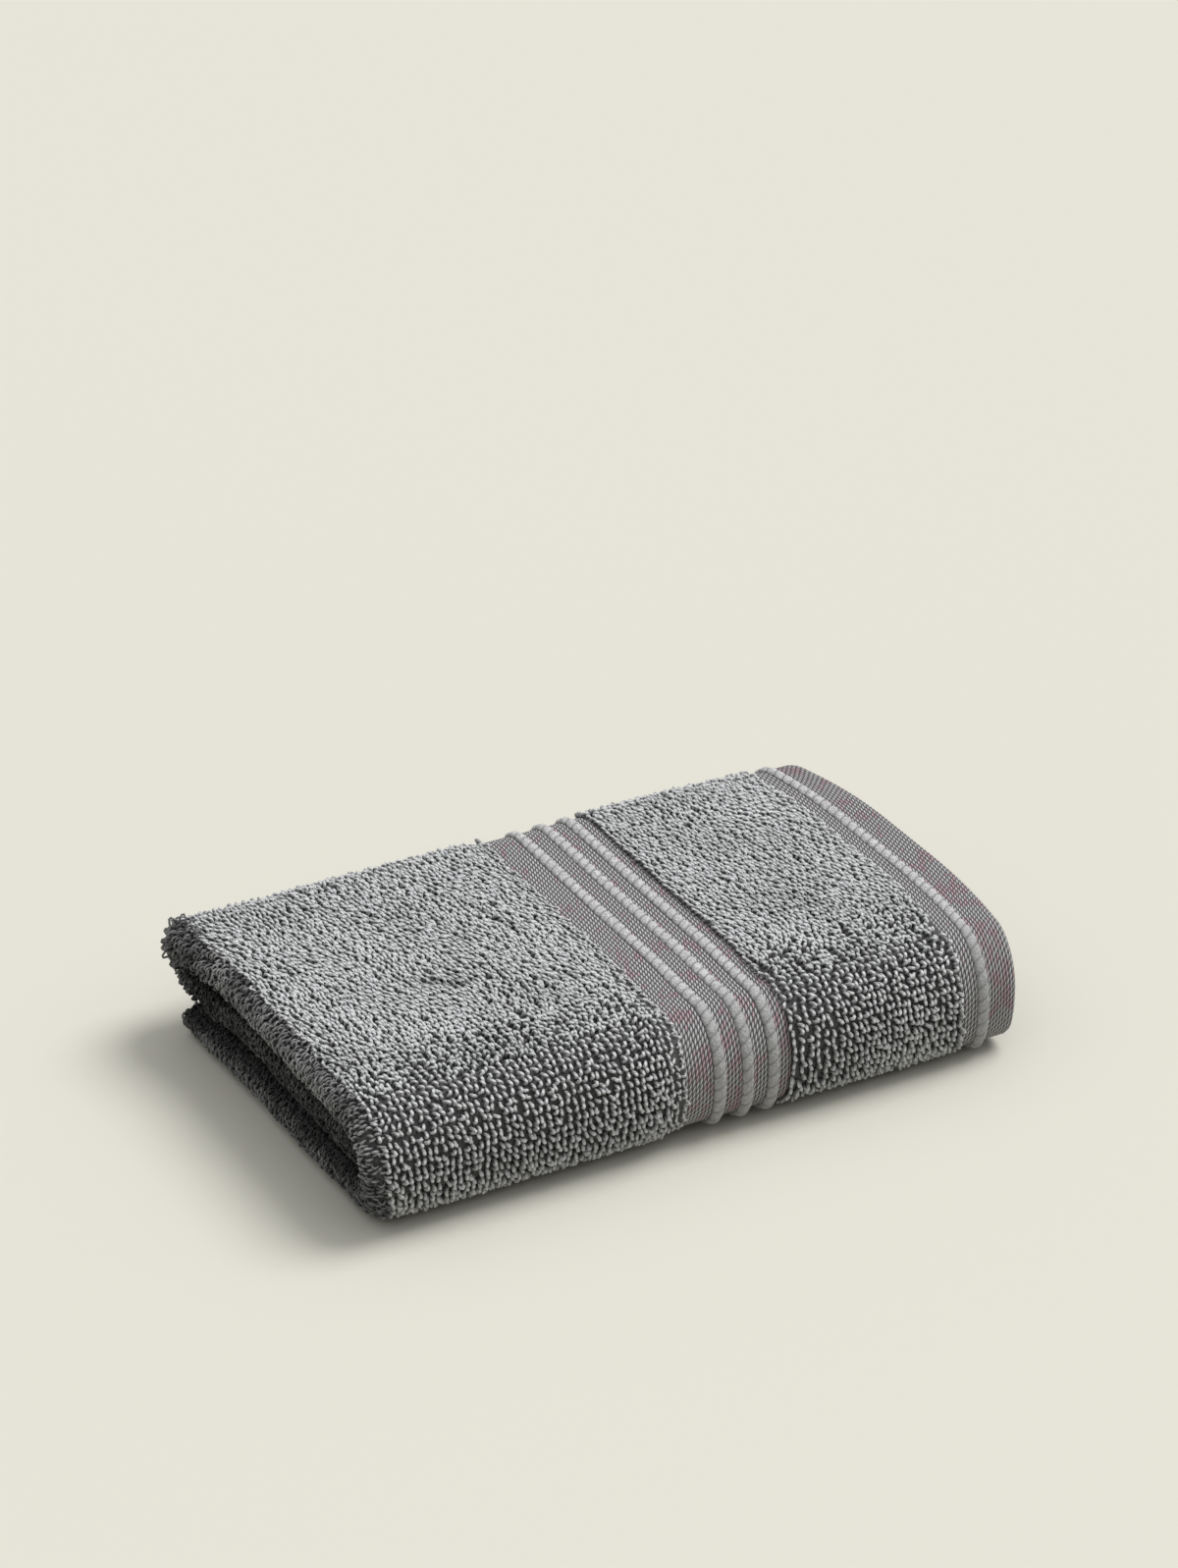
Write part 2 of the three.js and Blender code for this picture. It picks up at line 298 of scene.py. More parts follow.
def folded(x, h, u):
    """Carries points of the flat pair of layers to their places in the folded stack."""
    x, h, u = np.broadcast_arrays(*(np.asarray(v, float) for v in (x, h, u)))
    at = lay(u)
    away = (1 - at["back"]) * (1 - at["front"]) * at["run"]["top"]
    swell = 0.5 - 0.5 * np.sin(x / 9 + 0.5) * np.cos(at["y"] / 16)
    loft = -LOFT * away * swell * smooth(0, PILE_TOP, h)
    level = h * at["scale"] + loft
    out = level + (at["radius"] + level) * bend_fullness(x, h, at)
    flat_back = at["run"]["bottom"] | at["run"]["front"]
    drawn = BACK_DRAW * smooth(BAND_END, HEM_END, x) * smooth(0, BACK_CENTRE_Y, at["y"])
    y = at["y"] + at["out_y"] * out - np.where(flat_back, 0, drawn)
    z = at["z"] + at["out_z"] * out
    return np.stack([along_cloth(x, h, at) - X_MIDDLE, y, z], axis=-1) * MM


# ---- Making meshes -------------------------------------------------------------


def mesh_piece(name, points, faces, sides, maps=(), shade=None):
    """One object at the origin from arrays. faces holds arrays of corner indices, and sides
    the number of corners that the faces in each of them have."""
    mesh = bpy.data.meshes.new(name)
    totals = np.concatenate([np.full(len(f), n, int) for f, n in zip(faces, sides)])
    corners = np.concatenate([np.asarray(f, int).ravel() for f in faces])
    mesh.vertices.add(len(points))
    mesh.vertices.foreach_set("co", np.asarray(points, "f").ravel())
    mesh.loops.add(len(corners))
    mesh.loops.foreach_set("vertex_index", corners.astype("i"))
    mesh.polygons.add(len(totals))
    starts = np.concatenate([[0], np.cumsum(totals)[:-1]])
    mesh.polygons.foreach_set("loop_start", starts.astype("i"))
    mesh.polygons.foreach_set("loop_total", totals.astype("i"))
    mesh.update(calc_edges=True)
    mesh.validate()
    for map_name, values in maps:
        layer = mesh.uv_layers.new(name=map_name)
        layer.data.foreach_set("uv", np.asarray(values, "f").ravel())
    if shade is not None:
        mesh.attributes.new("shade", "FLOAT", "POINT").data.foreach_set("value", shade.astype("f"))
    mesh.shade_smooth()
    piece = bpy.data.objects.new(name, mesh)
    bpy.context.scene.collection.objects.link(piece)
    return piece


def facing_out(points, rings):
    """Turns all the faces of a closed form round if they point inwards."""
    volume = 0
    for quads in rings:
        first = points[quads[:, 0]]
        for i in range(1, quads.shape[1] - 1):
            side = np.cross(points[quads[:, i]], points[quads[:, i + 1]])
            volume += np.einsum("ij,ij->", first, side)
    return rings if volume > 0 else [quads[:, ::-1] for quads in rings]


def tube_faces(stations, places):
    """The wall and the two caps of a tube with so many stations and places round each."""
    i, k = np.meshgrid(np.arange(stations - 1), np.arange(places), indexing="ij")
    here = i * places + k
    beside = i * places + (k + 1) % places
    wall = np.stack([here, beside, beside + places, here + places], -1).reshape(-1, 4)
    caps = np.stack([np.arange(places)[::-1], (stations - 1) * places + np.arange(places)])
    return [wall, caps]


def swept(name, points, zones=None, tile=None):
    """A closed form from points[station, place round the section], with both ends capped."""
    stations, places = points.shape[:2]
    flat = points.reshape(-1, 3)
    rings = facing_out(flat, tube_faces(stations, places))
    maps = []
    if tile is not None:
        maps = [("weave", np.concatenate([tile.reshape(-1, 2)[ring.ravel()] for ring in rings]))]
    piece = mesh_piece(name, flat, rings, (4, places), maps)
    if zones is not None:
        face_zone = np.concatenate([np.tile(zones, stations - 1), [0, 0]])
        piece.data.polygons.foreach_set("material_index", face_zone.astype("i"))
    return piece


def even_places(x, h, step, first, last):
    """Places round the fold that lie an even real distance apart, and those distances."""
    u = np.linspace(first, last, 3000)
    gaps = np.linalg.norm(np.diff(folded(x, h, u), axis=0), axis=1) / MM
    run = np.concatenate([[0], np.cumsum(gaps)])
    marks = np.linspace(0, run[-1], max(2, round(run[-1] / step)) + 1)
    return np.interp(marks, run, u), marks


# ---- The woven ground ----------------------------------------------------------

TERRY, WEAVE = 0, 1


def level(points, start, end, h, step, zone):
    count = max(1, round(abs(end - start) / step))
    for x in np.linspace(start, end, count + 1):
        points.append((x, h, zone))


def layer_profile(shorter):
    """One layer's right side, its hem's edge and its inner side, as (x, h, zone)."""
    end = HEM_END - shorter
    points = []
    level(points, HALF_PAIR, BAND_START - EDGE_SLOPE, GROUND_TOP, 2.4, TERRY)
    level(points, BAND_START, BAND_END - EDGE_SLOPE, WEAVE_TOP, 1.2, WEAVE)
    level(points, BAND_END, HEM_START - EDGE_SLOPE, GROUND_TOP, 2.4, TERRY)
    radius = (HEM_TOP - LAYER_GAP / 2) / 2
    level(points, HEM_START, end - radius - 0.4, HEM_TOP, 1.2, WEAVE)
    for turn in np.linspace(math.pi / 2, -math.pi / 2, 7):
        x = end - radius + radius * math.cos(turn)
        h = LAYER_GAP / 2 + radius * (1 + math.sin(turn))
        points.append((x, h, WEAVE))
    level(points, HEM_START, HALF_PAIR + LAYER_GAP, LAYER_GAP / 2, 12, TERRY)
    return points


def pair_profile():
    lower = [(x, -h, zone) for x, h, zone in reversed(layer_profile(UNDER_LAYER_SHORTER))]
    nose = [
        (HALF_PAIR + NOSE_TIP * math.cos(t), GROUND_TOP * math.sin(t), TERRY)
        for t in np.linspace(-math.pi / 2, -3 * math.pi / 2, 11)[1:-1]
    ]
    return np.array([*layer_profile(0), (HALF_PAIR + LAYER_GAP / 2, 0, TERRY), *lower, *nose])


def ground_cloth():
    profile = pair_profile()
    x, h, zones = profile.T
    inside, _ = even_places(PLAIN_X, GROUND_TOP, 1.6, 1.5, PATH - 1.5)
    u = np.concatenate([[0, 0.25, 0.7], inside, [PATH - 0.7, PATH - 0.25, PATH]])
    from_edge = np.minimum(u, PATH - u)
    rounding = np.sqrt(1 - (1 - np.clip(from_edge / 1.2, 0.02, 1)) ** 2)[:, None]
    middle = np.sign(h) * (LAYER_GAP / 2 + GROUND_TOP) / 2
    tall = middle + (h - middle) * rounding
    points = folded(x[None, :], tall, u[:, None])
    gaps = np.linalg.norm(np.diff(folded(PLAIN_X, GROUND_TOP, u), axis=0), axis=1)
    run = np.concatenate([[0], np.cumsum(gaps)])
    tile = np.stack(np.broadcast_arrays(run[:, None], x[None, :] * MM), -1) * MAP_SCALE
    return swept("ground_cloth", points, zones, tile)


CORD_STEPS = 8
BEAD_LENGTH = 3.0
BEAD_SLANT = 0.26
FRONT_BEAD_FADE = 0.5


def rib_cord(name, centre, base, top):
    """A woven rib: a half-round cord of slanting beads, standing on the flat weave."""
    u, run = even_places(centre, base, BEAD_LENGTH / 8, STARTS["back"] - 12, PATH - 1)
    turn = np.linspace(0, math.pi, CORD_STEPS)
    across = -np.cos(turn)[None, :]
    beads = run[:, None] / BEAD_LENGTH + 0.09 * waves(run, 0 * run, 7, round(centre))[:, None]
    bead = np.abs(np.sin(math.pi * (beads + BEAD_SLANT * across))) ** 0.6
    bead = 1 - (1 - bead) * (1 - FRONT_BEAD_FADE * lay(u)["front"][:, None])
    size = 1 + 0.05 * waves(run, 0 * run, 4, round(centre))[:, None]
    x = centre + RIB_HALF_WIDTH * across * (0.8 + 0.2 * bead) * size
    h = base + (top - base) * np.sin(turn)[None, :] * (0.62 + 0.42 * bead) * size
    x = np.concatenate([x, np.full((len(u), 1), centre)], axis=1)
    h = np.concatenate([h, np.full((len(u), 1), base - 0.5)], axis=1)
    across = np.append(across, 0)[None, :]
    tile = np.stack(np.broadcast_arrays(beads, across), -1)
    return swept(name, folded(x, h, u[:, None]), tile=tile)


# ---- The pile ------------------------------------------------------------------


def unit(v):
    return v / np.linalg.norm(v, axis=-1, keepdims=True)


def stand_on(x, h, u, side):
    """The ground's point and its outward, round-the-fold and along-the-cloth directions.
    side is the outward way in the flat profile, as (x, h)."""
    foot = folded(x, h, u)
    outward = unit(folded(x + 0.05 * side[0], h + 0.05 * side[1], u) - foot)
    across = unit(folded(x, h, u + 0.05) - folded(x, h, u - 0.05))
    return foot, outward, across, unit(np.cross(outward, across))


def yarn_loops(name, stand, shape, rings, sides, seed):
    """One arch of yarn on each foot. shape holds, in millimetres, for one or all: turn, the
    way that its legs stand apart, from the across direction; lean, (across, along) at its
    top; height, spread of the legs, width of the yarn, and root, the share of its tone left
    at its foot, which is painted shade down in the pile."""
    foot, outward, across, along = stand
    count = len(foot)
    rng = np.random.default_rng(seed)
    turn, height, spread, width, root, tone = (
        np.broadcast_to(shape[key], count)[:, None, None]
        for key in ("turn", "height", "spread", "width", "root", "tone")
    )
    legs = np.cos(turn[:, 0]) * across + np.sin(turn[:, 0]) * along
    flat = -np.sin(turn[:, 0]) * across + np.cos(turn[:, 0]) * along
    phase = np.linspace(0, math.pi, rings)[None, :, None]
    rise = np.sin(phase) ** 0.62
    lean_a, lean_b = (np.broadcast_to(v, count)[:, None, None] for v in shape["lean"])
    centre = (
        foot[:, None] / MM
        + outward[:, None] * (height * rise - 0.35)
        - legs[:, None] * (spread / 2) * np.cos(phase)
        + (across[:, None] * lean_a + along[:, None] * lean_b) * np.sin(phase) ** 2
    )
    forward = unit(np.gradient(centre, axis=1))
    side_a = flat[:, None] - forward * np.sum(forward * flat[:, None], -1, keepdims=True)
    side_a = unit(side_a)
    side_b = np.cross(forward, side_a)
    round_turn = np.linspace(0, 2 * math.pi, sides, endpoint=False)[None, None, :, None]
    radius = width[..., None] / 2 * (0.75 + 0.25 * rise[..., None])
    points = centre[:, :, None] + radius * (
        np.cos(round_turn) * side_a[:, :, None] + np.sin(round_turn) * side_b[:, :, None]
    )
    points[..., 2] = np.maximum(points[..., 2], 0.02)

    first = points[0].reshape(-1, 3)
    wall, caps = tube_faces(rings, sides)
    one = facing_out(first - first.mean(0), [wall, caps])
    start = (np.arange(count) * rings * sides)[:, None, None]
    faces = [(start + part[None]).reshape(-1, part.shape[1]) for part in one]

    # The yarn's own map runs round and along it, and the second one gives each loop a cell
    grid = math.ceil(math.sqrt(count))
    cell = np.stack([np.arange(count) % grid, np.arange(count) // grid], -1)
    corners = np.array([[0, 0], [1, 0], [1, 1], [0, 1]])
    k, s = np.meshgrid(np.arange(rings - 1), np.arange(sides), indexing="ij")
    places = np.stack([s, k], -1).reshape(-1, 1, 2) + corners
    if not np.array_equal(one[0], wall):
        places = places[:, ::-1]
    yarn_wall = np.broadcast_to(places / np.array([sides, 1]), (count, *places.shape))
    cell_wall = (cell[:, None, None] + 0.1 + 0.8 * places / np.array([sides, rings - 1])) / grid
    dot = np.stack([np.cos(round_turn.ravel()), np.sin(round_turn.ravel())], -1) * 0.02
    cap_places = np.stack([dot + [0.3, 0.05], dot + [0.7, 0.05]])
    cell_caps = (cell[:, None, None] + cap_places) / grid
    yarn_caps = np.broadcast_to(cap_places, cell_caps.shape)
    maps = [
        ("yarn", np.concatenate([yarn_wall.reshape(-1, 2), yarn_caps.reshape(-1, 2)])),
        ("OFBake", np.concatenate([cell_wall.reshape(-1, 2), cell_caps.reshape(-1, 2)])),
    ]
    tone = (tone * rng.uniform(0.85, 1.1, (count, 1, 1)))[:, 0]
    # Painted shade: each loop's tone falls from its tip to root times that tone at its foot
    shade = tone * (root[:, 0] + (1 - root[:, 0]) * np.sin(phase[0, :, 0]) ** 0.7)
    return mesh_piece(
        name, points.reshape(-1, 3) * MM, faces, (4, sides), maps, np.repeat(shade.ravel(), sides)
    )


def loop_feet(fields, first, last, seed, jitter, row_pitch, column_pitch):
    """Feet of the loops on the right side, in rows and columns over the terry fields."""
    rng = np.random.default_rng(seed)
    rows, _ = even_places(PLAIN_X, GROUND_TOP, row_pitch, first, last)
    feet = []
    for start, end in fields:
        columns = np.linspace(start, end, round((end - start) / column_pitch) + 1)
        feet.append(np.stack(np.meshgrid(columns, rows[:-1]), -1).reshape(-1, 2))
    x, u = np.concatenate(feet).T
    return x + rng.normal(0, jitter, len(x)), u + rng.normal(0, jitter, len(u)), rng


def parted(x, y):
    """How far each loop is pushed from the nearest partings, as (x, y), and how deep it is."""
    push = np.zeros((len(x), 2))
    depth = np.zeros(len(x))
    here = np.stack([x, y], -1)
    for start, end in np.array(PARTINGS):
        line = end - start
        share = np.clip((here - start) @ line / (line @ line), 0, 1)
        away = here - (start + share[:, None] * line)
        gap = np.linalg.norm(away, axis=1)
        deep = np.exp(-((gap / PARTING_WIDTH) ** 2))
        push += unit(away + 1e-6) * deep[:, None]
        depth = np.maximum(depth, deep)
    return push.T, depth


def edge_push(x):
    """Loops at a field's edge lean over it, to the right where this is above 0."""
    at_band = smooth(BAND_START - 2.6, BAND_START - 0.8, x) * (x < BAND_START)
    past_band = (1 - smooth(BAND_END + 0.3, BAND_END + 2.4, x)) * (x > BAND_START)
    at_hem = smooth(HEM_START - 2.6, HEM_START - 0.8, x)
    return 0.5 * at_band - 0.6 * past_band + 0.4 * at_hem


def loop_shape(x, combed, drift, rng):
    """Upright round loops where combed is 0, and long thin ones that lie flat where it is 1.
    The left field thins out towards the band."""
    count = len(x)
    thin = smooth(BAND_START - 7, BAND_START - 0.5, x) * (x < BAND_START)
    bend = rng.normal(0, 1, count) * (0.5 - 0.35 * combed)
    return {
        "turn": 0.14 * combed + bend + 0.15 * drift,
        "lean": (0.3 + 0.7 * combed, 0.3 * rng.normal(0, 1, count) + edge_push(x)),
        "height": 1.98 * (1 - 0.5 * thin) * (1 + rng.normal(0, 0.07, count)),
        "spread": 1.15 + 1.15 * combed,
        "width": (0.84 - 0.13 * combed) * (1 - 0.2 * thin),
        # Darker roots are painted shade down in the pile. Roots and tone are lighter where loops
        # lie combed on the top and where they thin out at the band, whose edge faces the key light
        # from the right: painted light. The upright loops on the front are darker: painted shade
        "root": 0.04 + 0.51 * combed + 0.2 * thin,
        "tone": 0.88 + 0.15 * combed + 0.1 * thin,
    }


def pile_on_top(name, field, seed):
    fine = LOOP_PITCH / 2
    x, u, rng = loop_feet(
        [field], TOP_PILE_FROM, FRONT_PILE_FROM, seed, FOOT_JITTER, LOOP_PITCH, fine
    )
    y = lay(u)["y"]
    from_bend = smooth(FRONT_CENTRE_Y, FRONT_CENTRE_Y + TOP_COMBED_REACH, y)
    combed = BEND_COMBED + (1 - BEND_COMBED) * from_bend
    coarse_column = np.round((x - field[0]) / fine) % 2 == 0
    kept = coarse_column | (combed > rng.uniform(*FILLING_COMBED, len(x)))
    x, y, u, combed = x[kept], y[kept], u[kept], combed[kept]
    stand = stand_on(x, np.full(len(x), GROUND_TOP), u, (0, 1))
    shape = loop_shape(x, combed, waves(x, y, 4.5, 3), rng)
    (push_x, push_y), depth = parted(x, y)
    across, along = shape["lean"]
    end_row = 1 - smooth(HALF_PAIR + 1, HALF_PAIR + 5, x)
    along = along + PARTING_PUSH * push_x - 0.5 * end_row
    shape["lean"] = across - PARTING_PUSH * push_y, along
    shape["height"] = shape["height"] * (1 + 0.1 * waves(x, y, 3.2, 4) - 0.22 * depth)
    # Loops in the partings' troughs get a darker tone, painted shade; the waves vary the tone at
    # random
    shape["tone"] = shape["tone"] * (1 - 0.25 * depth) * (1 + 0.1 * waves(x, y, 6, 6))
    return yarn_loops(name, stand, shape, 6, 4, seed + 1)


def pile_on_front():
    x, u, rng = loop_feet(
        FIELDS,
        FRONT_PILE_FROM,
        UNDER_PILE_FROM,
        21,
        FRONT_FOOT_JITTER,
        FRONT_LOOP_PITCH,
        FRONT_LOOP_PITCH,
    )
    stand = stand_on(x, np.full(len(x), GROUND_TOP), u, (0, 1))
    past_bend = smooth(STARTS["front"], STARTS["front"] + BEND_COMBED_REACH, u)
    shape = loop_shape(x, BEND_COMBED * (1 - past_bend), waves(x, u, 3.5, 5), rng)
    return yarn_loops("pile_front", stand, shape, 7, 5, 22)


def pile_out_of_sight(name, first, last, rings, seed, drift_seed):
    x, u, rng = loop_feet(FIELDS, first, last, seed, FOOT_JITTER, LOOP_PITCH, LOOP_PITCH)
    stand = stand_on(x, np.full(len(x), GROUND_TOP), u, (0, 1))
    shape = loop_shape(x, HIDDEN_COMBED, waves(x, u, 3.5, drift_seed), rng)
    return yarn_loops(name, stand, shape, rings, 4, seed + 1)


def pile_on_noses():
    """The folded end: fine yarn brushed round the fold and a little way into the stack."""
    rng = np.random.default_rng(51)
    u_rows, _ = even_places(HALF_PAIR, 0, NOSE_ROW_PITCH, 1, PATH - 0.4)
    nose = math.pi * (NOSE_TIP + GROUND_TOP) / 2
    round_nose = np.arange(0.2, nose + NOSE_PILE_IN, NOSE_YARN_PITCH)
    w, u = (v.ravel() for v in np.meshgrid(round_nose, u_rows))
    w = w + rng.normal(0, 0.3, len(w))
    u = u + rng.normal(0, 0.25, len(u))
    turn_round = np.clip(w / nose, 0, 1) * math.pi + math.pi / 2
    x = HALF_PAIR + NOSE_TIP * np.cos(turn_round) + np.maximum(w - nose, 0)
    h = GROUND_TOP * np.sin(turn_round)
    stand = stand_on(x, h, u, (np.cos(turn_round) + 1e-6, np.sin(turn_round)))
    at = lay(u)
    flap = at["run"]["flap"]
    corner = np.maximum(at["back"] * (w < nose * 0.7), flap * smooth(22, 38, at["y"]))
    ragged = corner * np.abs(rng.normal(0, 1, len(w)))
    tip = np.sin(np.clip(w / nose, 0, 1) * math.pi)
    # Painted shade on the folded end: its yarn is darker on the lower side, deeper into the stack
    # and in the crease between the layers
    inner = smooth(0.3, GROUND_TOP, np.where(flap, np.abs(h), -h))
    crease = flap * np.exp(-((h / 1.1) ** 2)) * (w < nose)
    tone = (0.56 - 0.1 * (at["out_z"] < 0)) * (1 - 0.6 * inner) * (1 - 0.5 * crease)
    shape = {
        "turn": math.pi / 2 + rng.normal(0, 0.25, len(w)),
        "lean": (0.4 * rng.normal(0, 1, len(w)), 0.4 * rng.normal(0, 1, len(w))),
        "height": at["scale"] * (1.9 - 0.6 * tip + 0.2 * rng.normal(0, 1, len(w))) + ragged,
        "spread": 1.7,
        "width": 0.58,
        "root": 0.3,
        "tone": tone * (1 + 0.2 * waves(u, w, 3, 9)),
    }
    return yarn_loops("pile_noses", stand, shape, 6, 4, 52)


def pile_on_edges():
    """A row of loops on each layer's long edges, at the flap's edge and at the bottom's."""
    rng = np.random.default_rng(61)
    x = np.concatenate([np.arange(start, end, LOOP_PITCH) for start, end in FIELDS])
    x, h, flap = (v.ravel() for v in np.meshgrid(x, [-2.2, -0.9, 0.9, 2.2], [True, False]))
    u = np.where(flap, 0.0, PATH)
    foot = folded(x, h, u)
    outward = unit(foot - folded(x, h, np.where(flap, 0.5, PATH - 0.5)))
    along = unit(folded(x + 0.05, h, u) - folded(x - 0.05, h, u))
    across = unit(np.cross(along, outward))
    shape = loop_shape(x, HIDDEN_COMBED, rng.normal(0, 1, len(x)), rng)
    shape["tone"] = shape["tone"] * 0.8
    shape["width"] = shape["width"] * 0.8
    return yarn_loops("pile_edges", (foot, outward, across, along), shape, 6, 4, 62)


# ---- Finishes ------------------------------------------------------------------


MIX_COLOUR_A, MIX_COLOUR_B, MIX_COLOUR_OUT = 6, 7, 2


class Wire:
    """A node's output, so that the sums on it are written as plain maths."""

    def __init__(self, finish, socket):
        self.finish = finish
        self.socket = socket

    def maths(self, operation, *values):
        sockets = dict(enumerate(values))
        node = self.finish.node("ShaderNodeMath", {"operation": operation}, sockets)
        return self.finish.out(node)

    def sine(self):
        return self.maths("SINE", self)

    def whole(self):
        return self.maths("FLOOR", self)

    def rest(self):
        return self.maths("FRACT", self)

    def __add__(self, other):
        return self.maths("ADD", self, other)

    def __radd__(self, other):
        return self.maths("ADD", other, self)

    def __sub__(self, other):
        return self.maths("SUBTRACT", self, other)

    def __rsub__(self, other):
        return self.maths("SUBTRACT", other, self)

    def __mul__(self, other):
        return self.maths("MULTIPLY", self, other)

    def __rmul__(self, other):
        return self.maths("MULTIPLY", other, self)

    def __truediv__(self, other):
        return self.maths("DIVIDE", self, other)

    def __pow__(self, other):
        return self.maths("POWER", self, other)


class Finish:
    """A material in the making: every node but a sum comes from its one node method."""

    def __init__(self, name, **constants):
        self.material = bpy.data.materials.new(name)
        self.material.use_nodes = True
        self.tree = self.material.node_tree
        self.tree.nodes.clear()
        self.surface = self.node("ShaderNodeBsdfPrincipled", {}, constants)
        self.node("ShaderNodeOutputMaterial", {}, {"Surface": self.out(self.surface)})

    def node(self, kind, settings, sockets):
        node = self.tree.nodes.new(kind)
        for name, value in settings.items():
            setattr(node, name, value)
        for name, value in sockets.items():
            self.join(node, name.replace("_", " ") if isinstance(name, str) else name, value)
        return node

    def join(self, node, name, value):
        if isinstance(value, Wire):
            self.tree.links.new(value.socket, node.inputs[name])
        else:
            node.inputs[name].default_value = value

    def out(self, node, name=0):
        return Wire(self, node.outputs[name])

    def map(self, name):
        uv = self.out(self.node("ShaderNodeUVMap", {"uv_map": name}, {}))
        parts = self.node("ShaderNodeSeparateXYZ", {}, {"Vector": uv})
        return self.out(parts, 0), self.out(parts, 1)

    def place(self):
        return self.out(self.node("ShaderNodeTexCoord", {}, {}), "Object")

    def towards_front(self, low, high):
        """0 where -Y is below low, 1 where it is past high, in metres."""
        parts = self.node("ShaderNodeSeparateXYZ", {}, {"Vector": self.place()})
        return self.step(self.out(parts, 1) * -1, low, high)

    def noise(self, vector, scale, detail=2.0):
        sockets = {"Vector": vector, "Scale": scale, "Detail": detail}
        return self.out(self.node("ShaderNodeTexNoise", {}, sockets), "Fac")

    def dice(self, a, b):
        """A number from 0 to 1 that is the same all over each whole cell of a and b."""
        cell = self.node("ShaderNodeCombineXYZ", {}, {"X": a.whole(), "Y": b.whole()})
        settings = {"noise_dimensions": "2D"}
        dots = self.node("ShaderNodeTexWhiteNoise", settings, {"Vector": self.out(cell)})
        return self.out(dots, "Value")

    def between(self, low, high, amount):
        """A colour between two others. A colour mix has its own sockets, after the plain ones."""
        sockets = {0: amount, MIX_COLOUR_A: low, MIX_COLOUR_B: high}
        node = self.node("ShaderNodeMix", {"data_type": "RGBA"}, sockets)
        return self.out(node, MIX_COLOUR_OUT)

    def step(self, value, low, high):
        settings = {"interpolation_type": "SMOOTHSTEP"}
        sockets = {"Value": value, "From Min": low, "From Max": high}
        return self.out(self.node("ShaderNodeMapRange", settings, sockets))

    def raise_by(self, height, distance, strength=1.0):
        sockets = {"Height": height, "Distance": distance, "Strength": strength}
        bump = self.out(self.node("ShaderNodeBump", {}, sockets))
        self.join(self.surface, "Normal", bump)

    def colour(self, colour):
        self.join(self.surface, "Base Color", colour)


def grey(level, warm=0.0):
    return (level * (1 + warm), level, level * (1 - warm), 1)


def yarn_finish():
    """Soft two-ply cotton: each loop its own tone, with painted shade down in the pile and painted
    light on the lit top, both from the shade attribute.
    """
    finish = Finish("looped_cotton_yarn", Roughness=0.9, Sheen_Weight=0.12, Sheen_Roughness=0.5)
    stored = finish.node("ShaderNodeAttribute", {"attribute_name": "shade"}, {})
    shade = finish.out(stored, "Fac")
    round_yarn, along_yarn = finish.map("yarn")
    twist = ((round_yarn * 2 + along_yarn * 0.5) * (2 * math.pi)).sine()
    patch = finish.noise(finish.place(), 90, 2.0)
    tone = finish.step(shade * (0.82 + patch * 0.36), 0.12, 1.1)
    finish.colour(finish.between(grey(0.02), grey(0.66, -0.008), tone))
    finish.raise_by(twist + finish.noise(finish.place(), 2600, 1.0) * 0.8, 0.0001)
    return finish.material


def painted_shade_ground_finish():
    finish = Finish("terry_ground_as_painted_shade", Roughness=0.95)
    # The ground between the loops is made near black, painted shade down in the pile, with its own
    # grain in it
    grain = finish.noise(finish.place(), 1400, 2.0)
    finish.colour(finish.between(grey(0.045), grey(0.13), grain))
    finish.raise_by(grain, 0.0002)
    return finish.material


def weave_finish():
    """Flat weave of slanted floats in columns. Dusty pink flecks it in patches, most of all
    beyond the hem's rib and towards the front."""
    finish = Finish("border_weave", Roughness=0.88, Sheen_Weight=0.08)
    run, over = finish.map("weave")
    to_mm = 1 / (MM * MAP_SCALE)
    column = over * (to_mm / FLOAT_WIDTH)
    inside = column.rest() - 0.5
    float_place = run * (to_mm / FLOAT_LENGTH) + column.whole() * 0.5 + inside * 0.9
    length = float_place.rest() - 0.5
    body = (0.25 - inside * inside) * (0.25 - length * length) * 16
    pick = finish.dice(column, float_place)
    patch = finish.step(finish.noise(finish.place(), 150, 2.0), 0.38, 0.66)
    near_front = finish.towards_front(-0.02, 0.05)
    past_rib = finish.step(over, HEM_RIB / to_mm, (HEM_RIB + 2) / to_mm)
    in_hem = finish.step(over, BAND_END / to_mm, HEM_START / to_mm)
    share = (near_front * 0.35 + 0.35) * (1 - in_hem * 0.8) + past_rib * 0.55
    pink = finish.step(pick * 0.75 + patch * share, 0.6, 1.1)
    strand = finish.between(grey(0.5), (0.5, 0.345, 0.385, 1), pink)
    # Painted shade: each float darkens to near black towards its edges, in the gaps between floats
    finish.colour(finish.between(grey(0.035), strand, finish.step(body, 0.0, 0.9)))
    finish.raise_by(body + finish.noise(finish.place(), 3000, 1.0) * 0.25, 0.0005)
    return finish.material


def cord_finish():
    """Thick soft cotton, with painted shade in the creases between its beads and on the front
    bend.
    """
    finish = Finish("rib_cotton", Roughness=0.9, Sheen_Weight=0.12)
    bead, across = finish.map("weave")
    place = bead + across * BEAD_SLANT
    inside = place.rest() - 0.5
    clear_of_painted_crease_shade = finish.step(0.25 - inside * inside, 0.0, 0.16)
    fuzz = finish.noise(finish.place(), 1700, 3.0)
    strand = finish.between(grey(0.32), grey(0.58), finish.step(fuzz, 0.3, 0.7))
    # Painted shade on the front bend: the cord darkens towards the front
    near_front = finish.towards_front(0.03, 0.053)
    strand = finish.between(strand, grey(0.24), near_front * 0.6)
    finish.colour(finish.between(grey(0.2), strand, clear_of_painted_crease_shade))
    finish.raise_by(fuzz, 0.0004)
    return finish.material


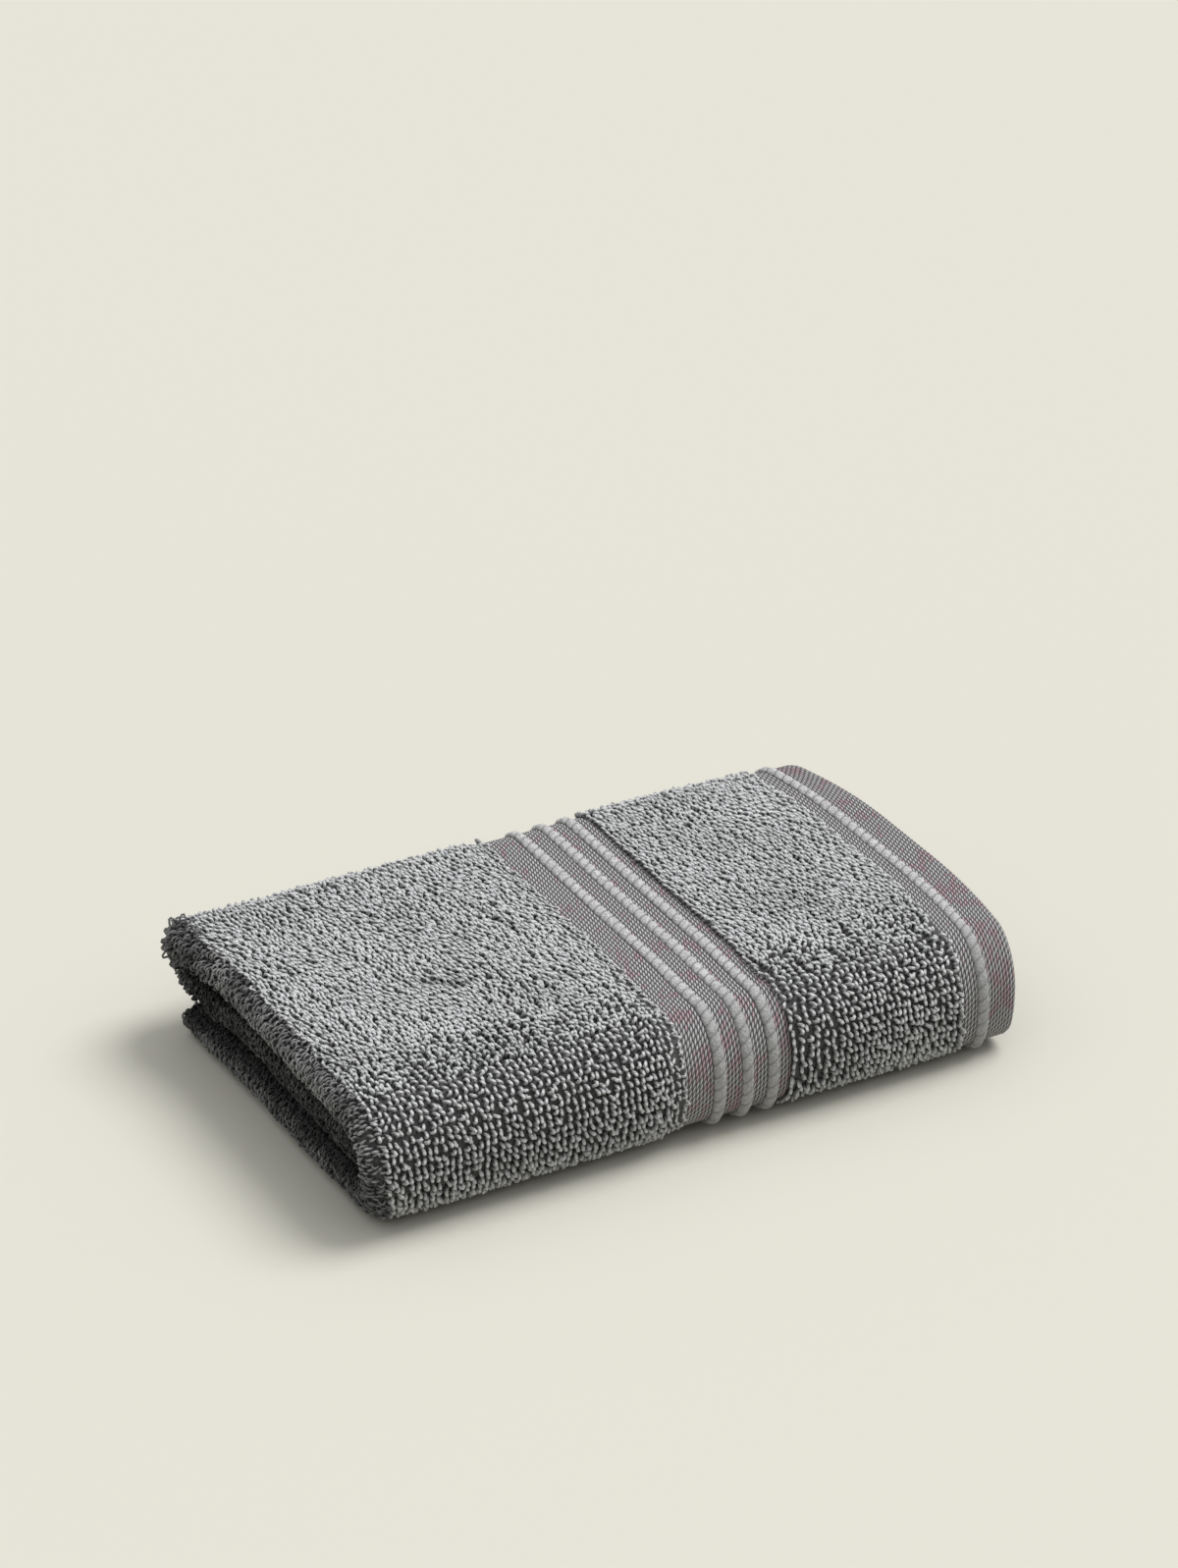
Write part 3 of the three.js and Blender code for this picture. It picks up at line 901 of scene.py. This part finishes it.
def floor_finish():
    finish = Finish("studio_floor", Roughness=0.95)
    soft = finish.noise(finish.place(), 1.5, 1.0)
    finish.colour(finish.between((0.584, 0.572, 0.503, 1), (0.591, 0.58, 0.509, 1), soft))
    return finish.material


# ---- The studio ----------------------------------------------------------------

CAMERA_AZIMUTH = math.radians(-28.7)
CAMERA_ELEVATION = math.radians(31.2)
CAMERA_DISTANCE = 1.015
CAMERA_AIM = (-0.00155, -0.0005, 0.014)
FOCAL_SHARE = 4500 / 1597
AIM_BELOW_MIDDLE = (1002 - 798.5) / 1597


def photographers_view():
    camera = bpy.data.cameras.new("camera")
    camera.sensor_width = 36
    camera.lens = 36 * FOCAL_SHARE
    camera.shift_y = AIM_BELOW_MIDDLE
    viewer = bpy.data.objects.new("camera", camera)
    bpy.context.scene.collection.objects.link(viewer)
    a, e = CAMERA_AZIMUTH, CAMERA_ELEVATION
    back = (math.sin(a) * math.cos(e), -math.cos(a) * math.cos(e), math.sin(e))
    viewer.location = [c + CAMERA_DISTANCE * b for c, b in zip(CAMERA_AIM, back)]
    viewer.rotation_euler = (math.pi / 2 - e, 0, a)
    bpy.context.scene.camera = viewer


def soft_sun(name, energy, angle, tilt):
    """A wide, far lamp. tilt is how far it stands from overhead, towards +X."""
    sun = bpy.data.lights.new(name, "SUN")
    sun.energy = energy
    sun.angle = math.radians(angle)
    lamp = bpy.data.objects.new(name, sun)
    lamp.rotation_euler = (0, math.radians(tilt), 0)
    bpy.context.scene.collection.objects.link(lamp)


def soft_light():
    soft_sun("key", 2.3, 34, 34)
    soft_sun("overhead", 1.35, 110, 4)
    world = bpy.data.worlds.new("studio")
    world.use_nodes = True
    world.node_tree.nodes["Background"].inputs["Color"].default_value = (1, 1, 1, 1)
    world.node_tree.nodes["Background"].inputs["Strength"].default_value = 0.3
    bpy.context.scene.world = world
    bpy.context.scene.view_settings.view_transform = "Standard"


def studio_floor():
    bpy.ops.object.select_all(action="DESELECT")
    bpy.ops.mesh.primitive_plane_add(size=8, location=(0, 0, 0))
    floor = bpy.context.active_object
    floor.name = "table_top"
    floor.data.materials.append(floor_finish())
    return floor


# ---- The whole thing -----------------------------------------------------------


def dress(piece, *finishes):
    for finish in finishes:
        piece.data.materials.append(finish)
    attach(piece, "root")


photographers_view()
soft_light()
floor = studio_floor()

ground = ground_cloth()
dress(ground, painted_shade_ground_finish(), weave_finish())
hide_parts("cloth")

rib_cotton = cord_finish()
ribs = [rib_cord(f"border_rib_{i}", x, WEAVE_TOP, RIB_TOP) for i, x in enumerate(BAND_RIBS, 1)]
ribs.append(rib_cord("hem_rib", HEM_RIB, HEM_TOP, HEM_RIB_TOP))
for rib in ribs:
    dress(rib, rib_cotton)

cotton_yarn = yarn_finish()
pile = [
    pile_on_top("pile_top_left", LEFT_FIELD, 11),
    pile_on_top("pile_top_right", RIGHT_FIELD, 13),
    pile_on_front(),
    pile_out_of_sight("pile_back", BACK_PILE_FROM, TOP_PILE_FROM, 7, 31, 7),
    pile_out_of_sight("pile_under", UNDER_PILE_FROM, PATH - 0.6, 6, 41, 8),
    pile_on_noses(),
    pile_on_edges(),
]
for piece in pile:
    dress(piece, cotton_yarn)
